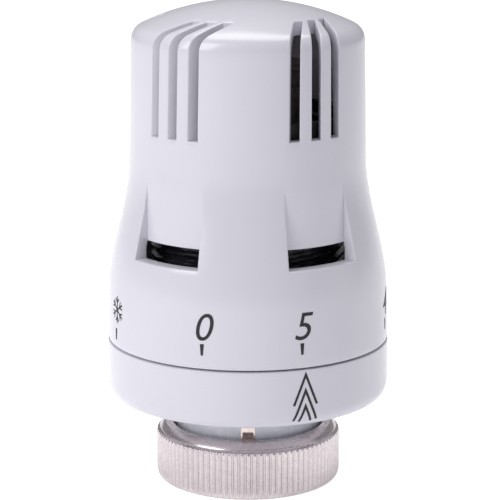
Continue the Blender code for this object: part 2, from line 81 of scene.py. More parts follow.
def makeStudio():
    deselect()
    bpy.ops.mesh.primitive_plane_add(size=studio["floorSize"], location=(0, 0, 0))
    floor = bpy.context.object
    floor.name = "studioFloor"
    paper = bpy.data.materials.new("paleFloor")
    paper.use_nodes = True
    shader = paper.node_tree.nodes["Principled BSDF"]
    shader.inputs["Base Color"].default_value = (*studio["floorColour"], 1)
    shader.inputs["Roughness"].default_value = 0.9
    shader.inputs["Emission Color"].default_value = (1, 1, 1, 1)
    tree = paper.node_tree
    path = tree.nodes.new('ShaderNodeLightPath')
    seen = tree.nodes.new('ShaderNodeMath')
    seen.operation = 'MULTIPLY_ADD'
    tree.links.new(path.outputs["Is Glossy Ray"], seen.inputs[0])
    seen.inputs[1].default_value = studio["floorMirrored"]
    tree.links.new(path.outputs["Is Camera Ray"], seen.inputs[2])
    glow = tree.nodes.new('ShaderNodeMath')
    glow.operation = 'MULTIPLY_ADD'
    tree.links.new(seen.outputs[0], glow.inputs[0])
    glow.inputs[1].default_value = studio["floorShown"]
    glow.inputs[2].default_value = studio["floorGlow"]
    tree.links.new(glow.outputs[0], shader.inputs["Emission Strength"])
    floor.data.materials.append(paper)
    world = bpy.data.worlds.new("softRoom")
    world.use_nodes = True
    sky = world.node_tree.nodes["Background"]
    sky.inputs["Color"].default_value = (*studio["skyColour"], 1)
    sky.inputs["Strength"].default_value = studio["skyStrength"]
    bpy.context.scene.world = world
    for name, (place, aim, width, height, watts) in studio["boxes"].items():
        bpy.ops.object.light_add(type='AREA', location=place)
        box = bpy.context.object
        box.name = name
        box.data.shape = 'RECTANGLE'
        box.data.size = width
        box.data.size_y = height
        box.data.energy = watts
        box.rotation_euler = (Vector(place) - Vector(aim)).to_track_quat('Z', 'Y').to_euler()
    tilt = math.radians(lens["elevation"])
    reach = lens["distance"]
    place = (0, -reach * math.cos(tilt), lens["aimHeight"] + reach * math.sin(tilt))
    bpy.ops.object.camera_add(location=place, rotation=(math.pi / 2 - tilt, 0, 0))
    camera = bpy.context.object
    camera.name = "frontCamera"
    camera.data.lens = lens["focal"]
    camera.data.sensor_width = 36
    camera.data.shift_x = lens["shift"]
    camera.data.clip_start = 0.01
    bpy.context.scene.camera = camera


makeStudio()
print("studio ready")


# shared effects, as node groups

def newGroup(name, inputs, outputs):
    group = bpy.data.node_groups.new(name, 'ShaderNodeTree')
    for label, kind, value in inputs:
        socket = group.interface.new_socket(label, in_out='INPUT', socket_type=kind)
        if value is not None:
            socket.default_value = value
    for label, kind in outputs:
        group.interface.new_socket(label, in_out='OUTPUT', socket_type=kind)
    return group, group.nodes.new('NodeGroupInput'), group.nodes.new('NodeGroupOutput')


floatSocket = 'NodeSocketFloat'
colourSocket = 'NodeSocketColor'
vectorSocket = 'NodeSocketVector'


def linkOrSet(tree, value, socket):
    # a socket is linked, a colour or a number is set
    if isinstance(value, tuple):
        socket.default_value = (*value, 1)
    elif isinstance(value, (int, float)):
        socket.default_value = value
    else:
        tree.links.new(value, socket)


def noiseIn(group, source, scale, detail, rough=0.5):
    # a noise texture on the group's coordinates
    noise = group.nodes.new('ShaderNodeTexNoise')
    noise.inputs["Detail"].default_value = detail
    noise.inputs["Roughness"].default_value = rough
    group.links.new(source, noise.inputs["Vector"])
    linkOrSet(group, scale, noise.inputs["Scale"])
    return noise.outputs["Fac"]


def mathIn(group, kind, first, second=None, clamp=False):
    node = group.nodes.new('ShaderNodeMath')
    node.operation = kind
    node.use_clamp = clamp
    linkOrSet(group, first, node.inputs[0])
    if second is not None:
        linkOrSet(group, second, node.inputs[1])
    return node.outputs[0]


def rangeIn(group, value, low, high, lowOut=0.0, highOut=1.0):
    node = group.nodes.new('ShaderNodeMapRange')
    node.interpolation_type = 'SMOOTHSTEP'
    group.links.new(value, node.inputs["Value"])
    for label, number in zip(("From Min", "From Max", "To Min", "To Max"), (low, high, lowOut, highOut)):
        linkOrSet(group, number, node.inputs[label])
    return node.outputs["Result"]


def mixIn(group, factor, first, second):
    # inputs 0, 6 and 7 are a colour mix's factor, A and B, and output 2 its colour
    node = group.nodes.new('ShaderNodeMix')
    node.data_type = 'RGBA'
    for number, value in ((0, factor), (6, first), (7, second)):
        group.links.new(value, node.inputs[number])
    return node.outputs[2]


def makeGroups():
    # mouldedSkin: slow flow marks, fine texture and a spread of gloss
    group, given, out = newGroup(
        "mouldedSkin",
        [("Coords", vectorSocket, None), ("Colour", colourSocket, None), ("Flow Colour", colourSocket, None),
         ("Flow Scale", floatSocket, 40.0), ("Grain Scale", floatSocket, 2500.0),
         ("Gloss Low", floatSocket, 0.3), ("Gloss High", floatSocket, 0.45)],
        [("Colour", colourSocket), ("Roughness", floatSocket), ("Height", floatSocket)])
    flow = noiseIn(group, given.outputs["Coords"], given.outputs["Flow Scale"], 3.0)
    grain = noiseIn(group, given.outputs["Coords"], given.outputs["Grain Scale"], 2.0)
    blend = rangeIn(group, flow, 0.35, 0.7)
    group.links.new(mixIn(group, blend, given.outputs["Colour"], given.outputs["Flow Colour"]),
                    out.inputs["Colour"])
    both = mathIn(group, 'ADD', mathIn(group, 'MULTIPLY', flow, 0.6), mathIn(group, 'MULTIPLY', grain, 0.4))
    group.links.new(rangeIn(group, both, 0.3, 0.7, given.outputs["Gloss Low"], given.outputs["Gloss High"]),
                    out.inputs["Roughness"])
    lumps = mathIn(group, 'ADD', mathIn(group, 'MULTIPLY', flow, 0.7), mathIn(group, 'MULTIPLY', grain, 0.3))
    group.links.new(lumps, out.inputs["Height"])

    # dustFilm: dust on what faces up, thin and patchy
    group, given, out = newGroup(
        "dustFilm",
        [("Coords", vectorSocket, None), ("Colour", colourSocket, None), ("Dust Colour", colourSocket, None),
         ("Amount", floatSocket, 0.2)],
        [("Colour", colourSocket), ("Mask", floatSocket)])
    up = group.nodes.new('ShaderNodeSeparateXYZ')
    facing = group.nodes.new('ShaderNodeNewGeometry')
    group.links.new(facing.outputs["Normal"], up.inputs[0])
    lying = rangeIn(group, up.outputs[2], 0.25, 1.0)
    patches = rangeIn(group, noiseIn(group, given.outputs["Coords"], 260.0, 5.0, 0.65), 0.38, 0.68, 0.25, 1.0)
    mask = mathIn(group, 'MULTIPLY', mathIn(group, 'MULTIPLY', lying, patches), given.outputs["Amount"], True)
    group.links.new(mask, out.inputs["Mask"])
    group.links.new(mixIn(group, mask, given.outputs["Colour"], given.outputs["Dust Colour"]),
                    out.inputs["Colour"])

    # edge colour on the edges that the piece's own edge attribute marks: wear on most finishes, and on the
    # white plastics a lighter painted highlight
    group, given, out = newGroup(
        "edgeWearAndHighlight",
        [("Coords", vectorSocket, None), ("Colour", colourSocket, None), ("Edge Colour", colourSocket, None),
         ("Amount", floatSocket, 0.5)],
        [("Colour", colourSocket), ("Mask", floatSocket)])
    mark = group.nodes.new('ShaderNodeAttribute')
    mark.attribute_name = "edgeMark"
    broken = rangeIn(group, noiseIn(group, given.outputs["Coords"], 900.0, 3.0), 0.35, 0.6)
    mask = mathIn(group, 'MULTIPLY', mathIn(group, 'MULTIPLY', mark.outputs["Fac"], broken),
                  given.outputs["Amount"], True)
    group.links.new(mask, out.inputs["Mask"])
    group.links.new(mixIn(group, mask, given.outputs["Colour"], given.outputs["Edge Colour"]),
                    out.inputs["Colour"])

    # turnedMetal: fine lines left by the lathe, and small specks of tarnish
    group, given, out = newGroup(
        "turnedMetal",
        [("Coords", vectorSocket, None), ("Colour", colourSocket, None), ("Speck Colour", colourSocket, None),
         ("Speck Scale", floatSocket, 900.0), ("Speck Cover", floatSocket, 0.3),
         ("Gloss Low", floatSocket, 0.2), ("Gloss High", floatSocket, 0.35)],
        [("Colour", colourSocket), ("Roughness", floatSocket), ("Height", floatSocket)])
    parts = group.nodes.new('ShaderNodeSeparateXYZ')
    group.links.new(given.outputs["Coords"], parts.inputs[0])
    squareX = mathIn(group, 'MULTIPLY', parts.outputs[0], parts.outputs[0])
    squareY = mathIn(group, 'MULTIPLY', parts.outputs[1], parts.outputs[1])
    reach = mathIn(group, 'SQRT', mathIn(group, 'ADD', squareX, squareY))
    rings = group.nodes.new('ShaderNodeCombineXYZ')
    group.links.new(reach, rings.inputs[0])
    group.links.new(parts.outputs[2], rings.inputs[2])
    lines = noiseIn(group, rings.outputs[0], 4200.0, 3.0, 0.6)
    stain = noiseIn(group, given.outputs["Coords"], given.outputs["Speck Scale"], 4.0, 0.7)
    cut = mathIn(group, 'SUBTRACT', 0.78, mathIn(group, 'MULTIPLY', given.outputs["Speck Cover"], 0.3))
    speck = rangeIn(group, stain, cut, 0.82)
    cloud = rangeIn(group, noiseIn(group, given.outputs["Coords"], 140.0, 3.0), 0.35, 0.75, 0.0, 0.35)
    soft = mathIn(group, 'MAXIMUM', speck, cloud)
    group.links.new(mixIn(group, mathIn(group, 'MULTIPLY', soft, given.outputs["Speck Cover"], True),
                          given.outputs["Colour"], given.outputs["Speck Colour"]), out.inputs["Colour"])
    gloss = mathIn(group, 'ADD', mathIn(group, 'MULTIPLY', lines, 0.6), mathIn(group, 'MULTIPLY', stain, 0.4))
    group.links.new(rangeIn(group, gloss, 0.3, 0.7, given.outputs["Gloss Low"], given.outputs["Gloss High"]),
                    out.inputs["Roughness"])
    group.links.new(lines, out.inputs["Height"])


makeGroups()

# one line a finish: kind, colour, second colour, gloss range, metal, bump in mm, then what is special to it
finishes = {
    # kind, colour, second colour, gloss from and to, metallic, bump depth in mm, and the rest by name
    # on the two white plastics the lighter edge colour is a painted highlight along the edges, not wear
    "whiteAbs": ("skin", (0.715, 0.70, 0.765), (0.685, 0.67, 0.74), (0.17, 0.26), 0, 0.0015,
                 {"flow": 35.0, "grain": 2600.0, "dust": 0.04, "edgeAmount": 0.2, "edgeColour": (0.78, 0.77, 0.82),
                  "dustColour": (0.64, 0.62, 0.64), "coat": 0.25}),
    "ringAbs": ("skin", (0.725, 0.71, 0.775), (0.70, 0.685, 0.755), (0.16, 0.24), 0, 0.0015,
                {"flow": 45.0, "grain": 2600.0, "dust": 0.02, "edgeAmount": 0.2, "edgeColour": (0.78, 0.77, 0.82),
                 "dustColour": (0.62, 0.60, 0.62), "coat": 0.25}),
    "blackNylon": ("skin", (0.018, 0.017, 0.018), (0.03, 0.028, 0.028), (0.38, 0.55), 0, 0.01,
                   {"flow": 80.0, "grain": 1800.0, "dust": 0.10, "edgeAmount": 0.3, "edgeColour": (0.08, 0.08, 0.08),
                    "dustColour": (0.2, 0.19, 0.18), "coat": 0.0}),
    "greyNeck": ("skin", (0.78, 0.80, 0.86), (0.70, 0.72, 0.79), (0.13, 0.22), 0, 0.004,
                 {"flow": 60.0, "grain": 2200.0, "dust": 0.05, "edgeAmount": 0.35, "edgeColour": (0.45, 0.46, 0.5),
                  "dustColour": (0.4, 0.39, 0.38), "coat": 0.2}),
    "nickelPlate": ("metal", (0.66, 0.595, 0.605), (0.36, 0.28, 0.27), (0.20, 0.33), 1, 0.002,
                    {"speckScale": 1500.0, "cover": 0.45, "edgeAmount": 0.35, "edgeColour": (0.95, 0.91, 0.9)}),
    "bareBrass": ("metal", (0.50, 0.33, 0.16), (0.20, 0.11, 0.05), (0.25, 0.42), 1, 0.003,
                  {"speckScale": 700.0, "cover": 0.6, "edgeAmount": 0.3, "edgeColour": (0.75, 0.55, 0.3)}),
    "springSteel": ("metal", (0.46, 0.45, 0.45), (0.22, 0.20, 0.19), (0.22, 0.36), 1, 0.002,
                    {"speckScale": 1200.0, "cover": 0.4, "edgeAmount": 0.2, "edgeColour": (0.7, 0.7, 0.7)}),
    "sensorShell": ("metal", (0.26, 0.23, 0.20), (0.13, 0.11, 0.10), (0.34, 0.5), 1, 0.004,
                    {"speckScale": 420.0, "cover": 0.6, "edgeAmount": 0.3, "edgeColour": (0.4, 0.38, 0.35)}),
    "sealRubber": ("skin", (0.012, 0.012, 0.013), (0.02, 0.02, 0.02), (0.55, 0.7), 0, 0.01,
                   {"flow": 120.0, "grain": 1500.0, "dust": 0.1, "edgeAmount": 0.1, "edgeColour": (0.05, 0.05, 0.05),
                    "dustColour": (0.12, 0.12, 0.11), "coat": 0.0}),
    "acetal": ("skin", (0.72, 0.70, 0.64), (0.66, 0.64, 0.58), (0.30, 0.42), 0, 0.003,
               {"flow": 70.0, "grain": 2400.0, "dust": 0.08, "edgeAmount": 0.2, "edgeColour": (0.8, 0.78, 0.72),
                "dustColour": (0.5, 0.48, 0.44), "coat": 0.0}),
    "wetBlack": ("skin", (0.014, 0.014, 0.020), (0.022, 0.021, 0.028), (0.22, 0.32), 0, 0.004,
                 {"flow": 70.0, "grain": 1800.0, "dust": 0.04, "edgeAmount": 0.15, "edgeColour": (0.06, 0.06, 0.06),
                  "dustColour": (0.15, 0.15, 0.14), "coat": 0.0}),
    # light metal of the notch frame: a painted highlight along the notch's edges
    "notchHighlightMetal": ("metal", (0.80, 0.70, 0.66), (0.42, 0.30, 0.22), (0.22, 0.36), 1, 0.002,
                   {"speckScale": 1300.0, "cover": 0.5, "edgeAmount": 0.3, "edgeColour": (0.92, 0.86, 0.82)}),
    "printInk": ("skin", (0.009, 0.009, 0.014), (0.016, 0.016, 0.022), (0.45, 0.6), 0, 0.002,
                 {"flow": 300.0, "grain": 3500.0, "dust": 0.0, "edgeAmount": 0.0, "edgeColour": (0.1, 0.1, 0.1),
                  "dustColour": (0.2, 0.2, 0.2), "coat": 0.0}),
}
# the record's slot and the CAD finish that each stands for
slotOf = {
    "whiteAbs": "white_abs", "ringAbs": "white_abs", "blackNylon": "black_nylon", "greyNeck": "grey_neck",
    "nickelPlate": "nickel_plate", "bareBrass": "bare_brass", "springSteel": "spring_steel",
    "sensorShell": "sensor_shell", "sealRubber": "rod_seal_rubber", "acetal": "natural_acetal",
    "printInk": "black_nylon", "wetBlack": "black_nylon", "notchHighlightMetal": "nickel_plate",
}


def placeGroup(tree, name, values):
    node = tree.nodes.new('ShaderNodeGroup')
    node.node_tree = bpy.data.node_groups[name]
    for label, value in values.items():
        linkOrSet(tree, value, node.inputs[label])
    return node


def makeFinish(name):
    kind, colour, second, (low, high), metal, depth, extra = finishes[name]
    made = bpy.data.materials.new(name)
    made.use_nodes = True
    tree = made.node_tree
    shader = tree.nodes["Principled BSDF"]
    coords = tree.nodes.new('ShaderNodeTexCoord').outputs["Object"]
    if kind == "skin":
        base = placeGroup(tree, "mouldedSkin", {
            "Coords": coords, "Colour": colour, "Flow Colour": second, "Flow Scale": extra["flow"],
            "Grain Scale": extra["grain"], "Gloss Low": low, "Gloss High": high})
    else:
        base = placeGroup(tree, "turnedMetal", {
            "Coords": coords, "Colour": colour, "Speck Colour": second, "Speck Scale": extra["speckScale"],
            "Speck Cover": extra["cover"], "Gloss Low": low, "Gloss High": high})
    shown = base.outputs["Colour"]
    # edges: wear, and on the white plastics a painted highlight
    shown = placeGroup(tree, "edgeWearAndHighlight", {
        "Coords": coords, "Colour": shown, "Edge Colour": extra["edgeColour"],
        "Amount": extra["edgeAmount"]}).outputs["Colour"]
    if extra.get("dust"):
        shown = placeGroup(tree, "dustFilm", {
            "Coords": coords, "Colour": shown, "Dust Colour": extra["dustColour"],
            "Amount": extra["dust"]}).outputs["Colour"]
    tree.links.new(shown, shader.inputs["Base Color"])
    tree.links.new(base.outputs["Roughness"], shader.inputs["Roughness"])
    shader.inputs["Metallic"].default_value = metal
    if kind == "skin":
        shader.inputs["Coat Weight"].default_value = extra["coat"]
        shader.inputs["Coat Roughness"].default_value = 0.12
    bump = tree.nodes.new('ShaderNodeBump')
    bump.inputs["Strength"].default_value = 0.5
    bump.inputs["Distance"].default_value = depth * mm
    tree.links.new(base.outputs["Height"], bump.inputs["Height"])
    tree.links.new(bump.outputs["Normal"], shader.inputs["Normal"])
    return made


materials = {name: makeFinish(name) for name in finishes}
print("finishes ready:", len(materials))


# tools for the modelling

def select(piece):
    deselect()
    piece.select_set(True)
    bpy.context.view_layer.objects.active = piece


def editing(piece, kind='VERT'):
    select(piece)
    bpy.ops.object.mode_set(mode='EDIT')
    bpy.context.tool_settings.mesh_select_mode = (kind == 'VERT', kind == 'EDGE', kind == 'FACE')
    bpy.ops.mesh.select_all(action='DESELECT')
    return bmesh.from_edit_mesh(piece.data)


def editAll(piece):
    select(piece)
    bpy.ops.object.mode_set(mode='EDIT')
    bpy.ops.mesh.select_all(action='SELECT')


def spot(co):
    # radius and height in mm, and angle in degrees from 0 to 360
    return math.hypot(co.x, co.y) / mm, math.degrees(math.atan2(co.y, co.x)) % 360, co.z / mm


def pickFaces(piece, test):
    mesh = editing(piece, 'FACE')
    for face in mesh.faces:
        face.select_set(test(*spot(face.calc_center_median())))
    bmesh.update_edit_mesh(piece.data)


def pickRim(piece, test):
    # open edges whose middle passes the test
    mesh = editing(piece, 'EDGE')
    for edge in mesh.edges:
        if edge.is_boundary:
            edge.select_set(test(*spot((edge.verts[0].co + edge.verts[1].co) / 2)))
    bmesh.update_edit_mesh(piece.data)


def objectMode():
    bpy.ops.object.mode_set(mode='OBJECT')


def startPoint(name, r, z):
    # a plane merged to a point, ready to be drawn out along an outline
    deselect()
    bpy.ops.mesh.primitive_plane_add(size=mm, location=(0, 0, 0))
    piece = bpy.context.object
    piece.name = piece.data.name = name
    bpy.ops.object.mode_set(mode='EDIT')
    bpy.context.tool_settings.mesh_select_mode = (True, False, False)
    bpy.ops.mesh.select_all(action='SELECT')
    bpy.ops.mesh.merge(type='CENTER')
    bpy.ops.transform.translate(value=(r * mm, 0, z * mm))
    return piece


def turnPiece(name, outline, steps, closed=True):
    # outline is (radius, height) in mm, drawn point by point and spun once round the axis
    piece = startPoint(name, *outline[0])
    here = outline[0]
    for there in outline[1:] + (outline[:1] if closed else []):
        step = ((there[0] - here[0]) * mm, 0, (there[1] - here[1]) * mm)
        bpy.ops.mesh.extrude_region_move(TRANSFORM_OT_translate={"value": step})
        here = there
    bpy.ops.mesh.select_all(action='SELECT')
    bpy.ops.mesh.remove_doubles(threshold=0.000001)
    bpy.ops.mesh.select_all(action='SELECT')
    bpy.ops.mesh.spin(steps=steps, angle=2 * math.pi, center=(0, 0, 0), axis=(0, 0, 1))
    cleanUp(piece)
    return piece


def cleanUp(piece):
    editAll(piece)
    bpy.ops.mesh.remove_doubles(threshold=0.000001)
    bpy.ops.mesh.select_all(action='SELECT')
    bpy.ops.mesh.normals_make_consistent(inside=False)
    objectMode()


def polar(piece):
    points = np.zeros(len(piece.data.vertices) * 3)
    piece.data.vertices.foreach_get("co", points)
    x, y, z = points.reshape(-1, 3).T / mm
    return np.hypot(x, y), np.degrees(np.arctan2(y, x)), z


def setPolar(piece, r, angle, z):
    angle = np.radians(angle)
    points = np.stack([r * np.cos(angle), r * np.sin(angle), z], axis=1) * mm
    piece.data.vertices.foreach_set("co", points.ravel())
    piece.data.update()


def between(first, last, count):
    return [first + (last - first) * i / count for i in range(1, count + 1)]


def arc(centreR, centreZ, radius, first, last, count):
    # points on an arc, angles in degrees up from +r
    turns = [math.radians(first + (last - first) * i / count) for i in range(count + 1)]
    return [(centreR + radius * math.cos(t), centreZ + radius * math.sin(t)) for t in turns]


def smoothStep(x):
    x = np.clip(x, 0, 1)
    return x * x * (3 - 2 * x)


def markEdges(piece, angle=28.0):
    # the attribute that the edge group reads, for wear and for the painted edge highlight: 1 along the piece's
    # sharp outer edges
    mesh = bmesh.new()
    mesh.from_mesh(piece.data)
    mesh.verts.ensure_lookup_table()
    marks = np.zeros(len(mesh.verts))
    for edge in mesh.edges:
        if len(edge.link_faces) == 2 and edge.is_convex and edge.calc_face_angle(0) > math.radians(angle):
            for vert in edge.verts:
                marks[vert.index] = 1
    mesh.free()
    layer = piece.data.attributes.new("edgeMark", 'FLOAT', 'POINT')
    layer.data.foreach_set("value", marks.astype(np.float32))


def finishPiece(piece, body, finish, nodes=(), bevel=0.0, segments=2, limit=30.0, smooth=32.0):
    select(piece)
    if bevel:
        soft = piece.modifiers.new("softEdges", 'BEVEL')
        soft.width = bevel * mm
        soft.segments = segments
        soft.limit_method = 'ANGLE'
        soft.angle_limit = math.radians(limit)
        soft.use_clamp_overlap = True
        bpy.ops.object.modifier_apply(modifier=soft.name)
    markEdges(piece, 12.0 if bevel else 28.0)
    select(piece)
    bpy.ops.object.shade_smooth_by_angle(angle=math.radians(smooth))
    piece.data.materials.clear()
    piece.data.materials.append(materials[finish])
    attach(piece, body)
    if nodes:
        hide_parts(*nodes)
    return piece


# handwheel

wheel = {
    "top": 88.5, "bottom": 26.85, "cylinder": 21.05, "cylinderTop": 80.0, "draft": 0.02,
    "flare": 3.59, "flareFrom": 36.0, "flareTo": 60.0, "crown": 45.7, "shoulder": 3.2, "wall": 2.3,
    "columns": 225, "sectors": 5, "panelAt": -56.0, "panelHalf": 17.0,
    "windowFrom": 44.0, "windowTo": 47.2, "panelTo": 60.2, "panelDeep": (21.7, 21.6), "windowBore": 22.0,
    "ventFrom": 66.0, "ventPitch": 11.6, "ventHalf": 2.6, "ventEnd": 14.93, "ventLean": 28.0,
    "edge": 0.42, "stopRib": (31.6, 36.4, 20.2), "shoulderTop": 81.38, "shoulderAt": 17.82, "crownTurn": 24.8,
    "bore": (19.4, 18.75), "footTop": 27.2, "foot": [(23.3, 26.85), (24.4, 26.85)], "boreStep": 42.9,
    # inside of the skirt, from under the windows down to the groove of the retaining ring
    "skirt": [(22.65, 41.1), (23.3, 39.3), (23.3, 36.4), (23.3, 34.0), (23.3, 31.6), (23.3, 28.95),
              (24.0, 28.95), (24.0, 27.35), (23.3, 27.35)],
    "knots": [0, 1.5, 2.5, 3.5, 4.5, 5.5, 8.5, 10.5, 22.5],    # columns from a panel's middle
}


def wheelRadius(z):
    flare = smoothStep((np.asarray(z, float) - wheel["flareFrom"]) / (wheel["flareTo"] - wheel["flareFrom"]))
    return wheel["cylinder"] + wheel["draft"] * (wheel["cylinderTop"] - z) + wheel["flare"] * (1 - flare)


def onCrown(radius, turns):
    # points on the dome, angles in degrees from the axis
    centre = wheel["top"] - wheel["crown"]
    return [(radius * math.sin(math.radians(t)), centre + radius * math.cos(math.radians(t))) for t in turns]


def wheelOutline():
    low, start, stop, top = wheel["windowFrom"], wheel["windowTo"], wheel["panelTo"], wheel["ventFrom"]
    foot = wheel["footTop"]
    heights = [foot] + between(foot, low, 16) + between(low, start, 3) + between(start, stop, 12)
    heights += between(stop, top, 5) + between(top, wheel["shoulderTop"], 13)
    rim = float(wheelRadius(foot))
    outline = wheel["foot"] + [(rim - 0.35, wheel["bottom"]), (rim - 0.10, wheel["bottom"] + 0.1)]
    outline += [(float(wheelRadius(z)), z) for z in heights[:-1]]
    shoulder = wheel["shoulderAt"], wheel["shoulderTop"]
    outline += arc(*shoulder, wheel["shoulder"], 0, 90 - wheel["crownTurn"], 8)
    ventTurn = math.degrees(math.asin(wheel["ventEnd"] / wheel["crown"]))
    turns = between(wheel["crownTurn"], ventTurn, 4) + between(ventTurn, 0, 12)
    outline += onCrown(wheel["crown"], turns)
    inner = wheel["crown"] - wheel["wall"]
    ventTurn = math.degrees(math.asin(wheel["ventEnd"] / inner))
    turns = [0] + between(0, ventTurn, 12) + between(ventTurn, wheel["crownTurn"], 4)
    outline += onCrown(inner, turns)
    outline += arc(*shoulder, wheel["shoulder"] - wheel["wall"], 90 - wheel["crownTurn"], 0, 8)[1:]
    lowBore, highBore = wheel["bore"]
    slope = (highBore - lowBore) / (wheel["shoulderTop"] - start)
    heights = between(wheel["shoulderTop"], top, 13) + between(top, stop, 5) + between(stop, start, 12)
    outline += [(lowBore + slope * (z - start), z) for z in heights]
    outline += [(wheel["windowBore"], z) for z in [start] + between(start, low, 3) + [wheel["boreStep"]]]
    return [(max(r, 0.0), z) for r, z in outline + wheel["skirt"]]


def wheelColumn(angle):
    # sector and place in it, from -22.5 to 22.5 columns, while the columns are still even
    perSector = wheel["columns"] // wheel["sectors"]
    column = (angle % 360) * wheel["columns"] / 360
    sector = np.floor(column / perSector + 0.00001)
    return sector, column - perSector * sector - perSector / 2


def bridgeAt(piece, inHole):
    pickRim(piece, inHole)
    bpy.ops.mesh.bridge_edge_loops()
    objectMode()


def drawIn(piece, inRegion, newRadius):
    # the faces of a region are drawn in or out to a new radius, which may vary with the height
    pickFaces(piece, inRegion)
    bpy.ops.mesh.extrude_region_move(TRANSFORM_OT_translate={"value": (0, 0, 0)})
    mesh = bmesh.from_edit_mesh(piece.data)
    for vert in mesh.verts:
        if vert.select:
            r, angle, z = spot(vert.co)
            stretch = newRadius(r, z) / r
            vert.co.x *= stretch
            vert.co.y *= stretch
    bmesh.update_edit_mesh(piece.data)
    objectMode()


def makeHandwheel():
    piece = turnPiece("handwheelShell", wheelOutline(), wheel["columns"])
    low, start, stop = wheel["windowFrom"], wheel["windowTo"], wheel["panelTo"]
    deepLow, deepHigh = wheel["panelDeep"]

    def inColumns(angle, half=10.5):
        return abs(wheelColumn(angle)[1]) < half

    # five recessed panels, drawn inwards, that fade out where the flare ends
    drawIn(piece, lambda r, angle, z: start < z < stop and r > 20.3 and inColumns(angle),
           lambda r, z: min(r, deepLow + (deepHigh - deepLow) * (z - start) / (stop - start)))

    # stop rib inside the skirt
    ribFrom, ribTo, ribR = wheel["stopRib"]

    def inRib(r, angle, z):
        sector, column = wheelColumn(angle)
        return ribFrom < z < ribTo and 23 < r < 23.5 and sector == 3 and 6.5 < column < 18.5
    drawIn(piece, inRib, lambda r, z: ribR)

    # windows and vents: both skins are opened
    def inWindow(r, angle, z):
        onLip = abs(z - start) < 0.05 and r > deepLow + 0.5
        return inColumns(angle, 10.4) and (low < z < start - 0.1 or onLip)

    def inVent(r, angle, z):
        column = abs(wheelColumn(angle)[1])
        return z > wheel["ventFrom"] and r > wheel["ventEnd"] and (column < 1.5 or 5.5 < column < 8.5)
    pickFaces(piece, lambda r, angle, z: inWindow(r, angle, z) or inVent(r, angle, z))
    bpy.ops.mesh.delete(type='FACE')
    objectMode()

    # over a window the inner step comes out to the panel's lower edge and joins it
    mesh = editing(piece, 'VERT')
    for vert in mesh.verts:
        r, angle, z = spot(vert.co)
        if abs(z - start) < 0.05 and abs(r - wheel["windowBore"]) < 0.05 and inColumns(angle, 10.6):
            vert.co.x *= deepLow / r
            vert.co.y *= deepLow / r
    bmesh.update_edit_mesh(piece.data)
    bpy.ops.mesh.select_all(action='SELECT')
    bpy.ops.mesh.remove_doubles(threshold=0.000002)
    objectMode()

    # walls between the two skins round each window and vent
    for sector in range(wheel["sectors"]):
        def near(angle, first, last):
            return wheelColumn(angle)[0] == sector and first < wheelColumn(angle)[1] < last
        bridgeAt(piece, lambda r, angle, z: near(angle, -12, 12) and z < start - 0.05)
        for first, last in ((-9, -5), (-2, 2), (5, 9)):
            bridgeAt(piece, lambda r, angle, z: near(angle, first, last) and z > 60)

    # columns to their real angles, and the vents' lean
    r, angle, z = polar(piece)
    sector, column = wheelColumn(angle)
    reach = np.maximum(r, wheel["ventEnd"])
    half = wheel["ventHalf"] * wheel["cylinder"] / reach
    gap = wheel["ventPitch"] - 2 * half
    knots = wheel["knots"]
    none = np.zeros_like(half)
    turns = [none, half, half + 0.3 * gap, half + 0.5 * gap, half + 0.7 * gap, half + gap,
             wheel["ventPitch"] + half, none + wheel["panelHalf"], none + 36.0]
    size = np.abs(column)
    offset = np.zeros_like(size)
    for i in range(len(knots) - 1):
        inside = (size >= knots[i] - 0.001) & (size <= knots[i + 1] + 0.001)
        part = (size - knots[i]) / (knots[i + 1] - knots[i])
        offset = np.where(inside, turns[i] + (turns[i + 1] - turns[i]) * part, offset)
    closest = wheel["cylinder"] * math.sin(math.radians(wheel["ventLean"]))
    lean = math.degrees(math.acos(closest / wheel["cylinder"])) - np.degrees(np.arccos(closest / reach))
    lean *= smoothStep((z - wheel["panelTo"]) / (wheel["ventFrom"] - wheel["panelTo"]))
    setPolar(piece, r, wheel["panelAt"] + 72 * sector + np.sign(column) * offset + lean, z)
    cleanUp(piece)

    # rounded edges at the vents, windows and panels, thinner where a panel fades out
    mesh = bmesh.new()
    mesh.from_mesh(piece.data)
    weights = np.zeros(len(mesh.edges), np.float32)
    crownAt = wheel["top"] - wheel["crown"]
    for i, edge in enumerate(mesh.edges):
        if len(edge.link_faces) != 2 or not edge.is_convex or edge.calc_face_angle(0) < math.radians(20):
            continue
        r, angle, z = spot((edge.verts[0].co + edge.verts[1].co) / 2)
        if z < wheel["windowFrom"] - 0.1:
            continue
        onShoulder = math.hypot(r - wheel["shoulderAt"], z - wheel["shoulderTop"]) > 2.6
        outside = math.hypot(r, z - crownAt) > 44.3 if r < wheel["shoulderAt"] else onShoulder
        if z < wheel["shoulderTop"]:
            outside = r > float(wheelRadius(z)) - 0.2
        if abs(z - wheel["windowTo"]) < 0.1 and 21.5 < r < 21.9:
            weights[i] = 0.5
        elif outside:
            deep = float(wheelRadius(z)) - 21.65 if z < 60 else 2
            weights[i] = min(1.0, max(0.0, deep / 1.0))
    mesh.free()
    layer = piece.data.attributes.new("bevel_weight_edge", 'FLOAT', 'EDGE')
    layer.data.foreach_set("value", weights)
    select(piece)
    soft = piece.modifiers.new("roundedEdges", 'BEVEL')
    soft.width = wheel["edge"] * mm
    soft.segments = 3
    soft.limit_method = 'WEIGHT'
    soft.use_clamp_overlap = True
    bpy.ops.object.modifier_apply(modifier=soft.name)
    return finishPiece(piece, "handwheel", "whiteAbs", ("handwheel",), smooth=38.0)


shell = makeHandwheel()
print("handwheel made:", len(shell.data.polygons), "faces")


# printed marks: flat plates in mm, cut into narrow strips, made thin slabs and laid round the surface

